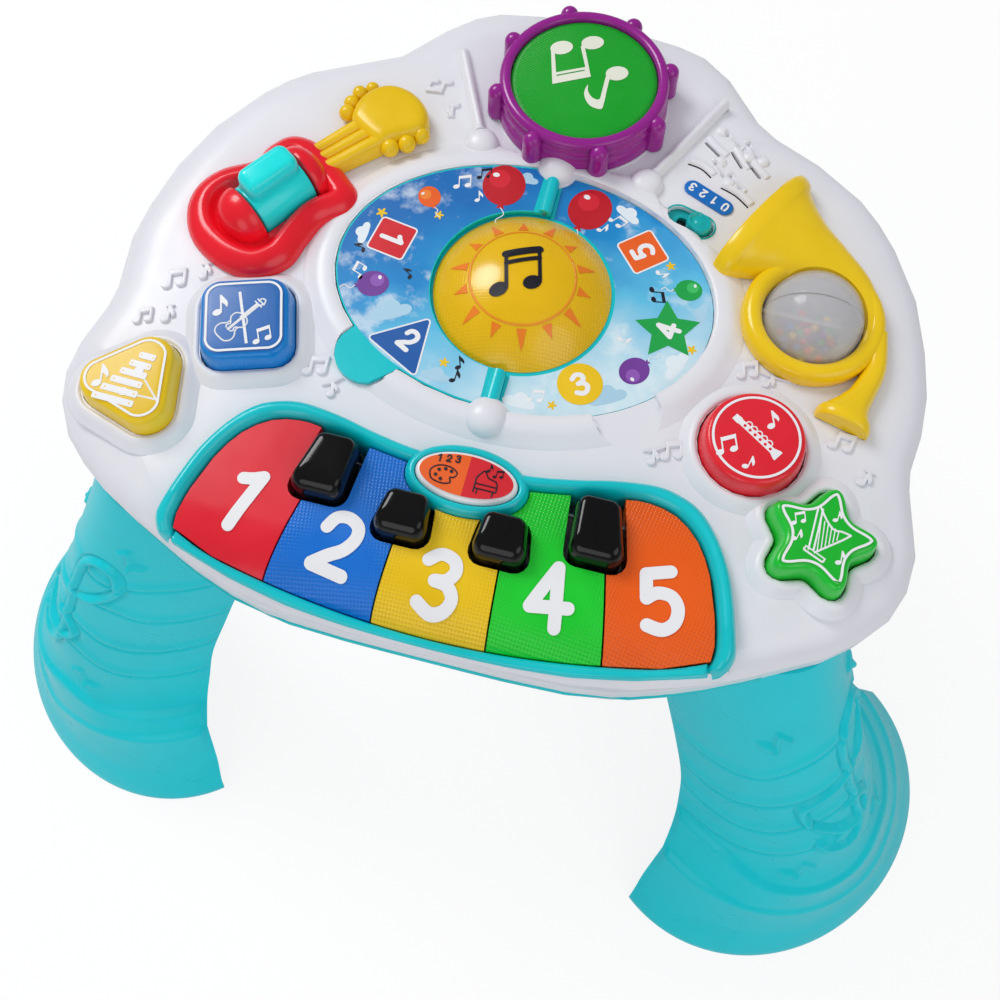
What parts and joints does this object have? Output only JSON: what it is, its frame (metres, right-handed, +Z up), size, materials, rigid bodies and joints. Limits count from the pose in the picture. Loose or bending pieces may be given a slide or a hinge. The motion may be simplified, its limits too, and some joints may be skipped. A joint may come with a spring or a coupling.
{
  "type": "musical activity center",
  "caption": "Round low play table for babies on wide legs, with a keyboard, drum, strummed guitar, horn with a rattle ball, a flip page, shaped buttons and a volume switch.",
  "frame": {"origin": "on the floor under the middle of the overall box", "axes": "+Z up, -Y towards the child at the keyboard, +X to the right of that child, across the two front legs"},
  "size_m": [0.6704, 0.6342, 0.3464],
  "materials": {
    "deck_white": "moulded plastic with a soft shine",
    "leg_teal": "moulded plastic with a soft shine",
    "trim_teal": "glossy moulded plastic",
    "switch_teal": "glossy moulded plastic",
    "picture_blue": "moulded plastic under a printed label",
    "dome_yellow": "translucent yellow plastic",
    "button_white": "moulded plastic under a printed label",
    "key_red": "glossy moulded plastic",
    "key_blue": "glossy moulded plastic",
    "key_yellow": "glossy moulded plastic",
    "key_green": "glossy moulded plastic",
    "key_orange": "glossy moulded plastic",
    "black_plastic": "glossy black plastic",
    "button_blue": "glossy translucent plastic",
    "button_yellow": "glossy translucent plastic",
    "button_red": "glossy translucent plastic",
    "button_green": "glossy translucent plastic",
    "board_green": "circuit board with a green mask",
    "drum_purple": "glossy moulded plastic",
    "drum_green": "ribbed moulded plastic",
    "pad_rubber": "soft silicone rubber",
    "guitar_red": "glossy moulded plastic",
    "guitar_yellow": "glossy moulded plastic",
    "horn_yellow": "glossy moulded plastic",
    "clear_shell": "clear polished plastic",
    "bead_red": "glossy moulded plastic",
    "bead_blue": "glossy moulded plastic",
    "bead_yellow": "glossy moulded plastic",
    "bead_green": "glossy moulded plastic",
    "bead_purple": "glossy moulded plastic",
    "label_blue": "printed plastic label",
    "cell_red": "steel can in a printed sleeve",
    "steel": "plain drawn steel"
  },
  "bodies": {
    "base": {"top_deck": "deck_white", "bottom_shell": "deck_white", "leg_front_right": "leg_teal", "leg_front_left": "leg_teal", "leg_back": "leg_teal", "picture_plate": "picture_blue", "sun_dome": "dome_yellow", "hinge_pin_back": "steel", "hinge_pin_front": "steel", "keyboard_frame": "trim_teal", "key_rod": "steel", "black_key_1": "black_plastic", "black_key_2": "black_plastic", "black_key_3": "black_plastic", "black_key_4": "black_plastic", "key_bed": "deck_white", "blue_button_spring": "pad_rubber", "yellow_button_spring": "pad_rubber", "red_button_spring": "pad_rubber", "green_button_spring": "pad_rubber", "button_board_left": "board_green", "button_board_right": "board_green", "drum_rim": "drum_purple", "drum_cushion": "pad_rubber", "guitar_body": "guitar_red", "guitar_neck": "guitar_yellow", "strummer_axle": "steel", "horn": "horn_yellow", "rattle_axle": "steel", "switch_plate": "switch_teal", "switch_label": "label_blue", "speaker": "black_plastic", "battery_box": "black_plastic", "battery_1": "cell_red", "battery_2": "cell_red", "battery_3": "cell_red", "battery_door": "deck_white", "battery_door_screw": "steel", "main_board": "board_green"},
    "page": {"page": "picture_blue"},
    "mode_button": {"mode_button": "button_white"},
    "key_1": {"key_1": "key_red"},
    "key_2": {"key_2": "key_blue"},
    "key_3": {"key_3": "key_yellow"},
    "key_4": {"key_4": "key_green"},
    "key_5": {"key_5": "key_orange"},
    "blue_button": {"blue_button": "button_blue"},
    "yellow_button": {"yellow_button": "button_yellow"},
    "red_button": {"red_button": "button_red"},
    "green_button": {"green_button": "button_green"},
    "drum_head": {"drum_head": "drum_green"},
    "strummer": {"strummer": "trim_teal"},
    "rattle_ball": {"rattle_half_front": "clear_shell", "rattle_half_back": "clear_shell", "bead_1": "bead_red", "bead_2": "bead_blue", "bead_3": "bead_yellow", "bead_4": "bead_green", "bead_5": "bead_purple"},
    "switch_knob": {"switch_knob": "switch_teal"}
  },
  "joints": [
    {"name": "page_turn", "type": "hinge", "parent": "base", "child": "page", "pos_m": [0, -0.0247, 0.3188], "axis": [0, 1, 0], "range_deg": [0, 180]},
    {"name": "strummer_rock", "type": "hinge", "parent": "base", "child": "strummer", "pos_m": [-0.14144, -0.0056, 0.3215], "axis": [0.5592, 0.829, 0], "range_deg": [-18, 18], "stiffness_Nm_per_rad": 0.05},
    {"name": "blue_press", "type": "slide", "parent": "base", "child": "blue_button", "axis": [0, 0, 1], "range_m": [-0.003, 0], "stiffness_N_per_m": 400, "deforming": ["blue_button_spring"]},
    {"name": "yellow_press", "type": "slide", "parent": "base", "child": "yellow_button", "axis": [0, 0, 1], "range_m": [-0.003, 0], "stiffness_N_per_m": 400, "deforming": ["yellow_button_spring"]},
    {"name": "red_press", "type": "slide", "parent": "base", "child": "red_button", "axis": [0, 0, 1], "range_m": [-0.003, 0], "stiffness_N_per_m": 400, "deforming": ["red_button_spring"]},
    {"name": "green_press", "type": "slide", "parent": "base", "child": "green_button", "axis": [0, 0, 1], "range_m": [-0.003, 0], "stiffness_N_per_m": 400, "deforming": ["green_button_spring"]},
    {"name": "key_1_press", "type": "hinge", "parent": "base", "child": "key_1", "pos_m": [0, -0.13921, 0.3105], "axis": [1, 0, 0], "range_deg": [0, 2.5], "stiffness_Nm_per_rad": 2},
    {"name": "key_2_press", "type": "hinge", "parent": "base", "child": "key_2", "pos_m": [0, -0.13921, 0.3105], "axis": [1, 0, 0], "range_deg": [0, 2.5], "stiffness_Nm_per_rad": 2},
    {"name": "key_3_press", "type": "hinge", "parent": "base", "child": "key_3", "pos_m": [0, -0.13921, 0.3105], "axis": [1, 0, 0], "range_deg": [0, 2.5], "stiffness_Nm_per_rad": 2},
    {"name": "key_4_press", "type": "hinge", "parent": "base", "child": "key_4", "pos_m": [0, -0.13921, 0.3105], "axis": [1, 0, 0], "range_deg": [0, 2.5], "stiffness_Nm_per_rad": 2},
    {"name": "key_5_press", "type": "hinge", "parent": "base", "child": "key_5", "pos_m": [0, -0.13921, 0.3105], "axis": [1, 0, 0], "range_deg": [0, 2.5], "stiffness_Nm_per_rad": 2},
    {"name": "mode_press", "type": "slide", "parent": "base", "child": "mode_button", "axis": [0, 0, 1], "range_m": [-0.0015, 0], "stiffness_N_per_m": 600},
    {"name": "drum_press", "type": "slide", "parent": "base", "child": "drum_head", "axis": [0, 0, 1], "range_m": [-0.0025, 0], "stiffness_N_per_m": 800, "deforming": ["drum_cushion"]},
    {"name": "switch_slide", "type": "slide", "parent": "base", "child": "switch_knob", "axis": [0.9659, -0.2588, 0], "range_m": [-0.0098, 0]},
    {"name": "ball_spin", "type": "hinge", "parent": "base", "child": "rattle_ball", "pos_m": [0.14851, -0.00876, 0.32], "axis": [1, 0, 0], "continuous": true}
  ]
}
